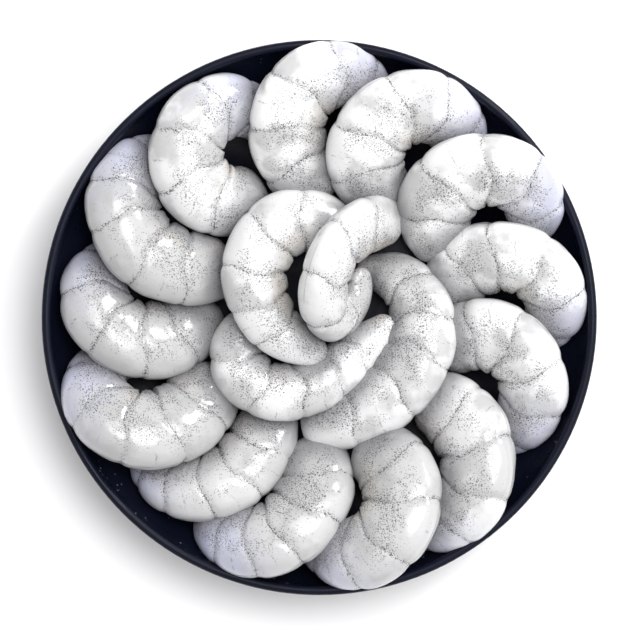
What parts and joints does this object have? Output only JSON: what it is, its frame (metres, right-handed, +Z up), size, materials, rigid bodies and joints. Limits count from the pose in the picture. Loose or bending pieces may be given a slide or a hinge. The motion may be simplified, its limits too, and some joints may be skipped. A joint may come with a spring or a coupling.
{
  "type": "bowl of peeled raw shrimp",
  "caption": "Shallow round dark bowl filled with curled peeled raw shrimp, overlapping in a ring with more laid across the middle.",
  "frame": {"origin": "on the table under the middle of the bowl's foot ring", "axes": "+Z up out of the bowl; +Y towards the ring shrimp that lies at twelve o'clock in the view from above, +X to its right"},
  "size_m": [0.19, 0.19, 0.053],
  "materials": {
    "bowl_glaze": "near-black navy satin glaze, wet in places",
    "shrimp_meat": "wet translucent grey-white raw meat with fine dark speckles"
  },
  "bodies": {
    "root": {"bowl": "bowl_glaze", "shrimp_ring_01": "shrimp_meat", "shrimp_ring_02": "shrimp_meat", "shrimp_ring_03": "shrimp_meat", "shrimp_ring_04": "shrimp_meat", "shrimp_ring_05": "shrimp_meat", "shrimp_ring_06": "shrimp_meat", "shrimp_ring_07": "shrimp_meat", "shrimp_ring_08": "shrimp_meat", "shrimp_ring_09": "shrimp_meat", "shrimp_ring_10": "shrimp_meat", "shrimp_ring_11": "shrimp_meat", "shrimp_ring_12": "shrimp_meat", "shrimp_ring_13": "shrimp_meat", "shrimp_middle_right": "shrimp_meat", "shrimp_middle_low": "shrimp_meat", "shrimp_middle_left": "shrimp_meat", "shrimp_middle_top": "shrimp_meat"}
  },
  "joints": []
}
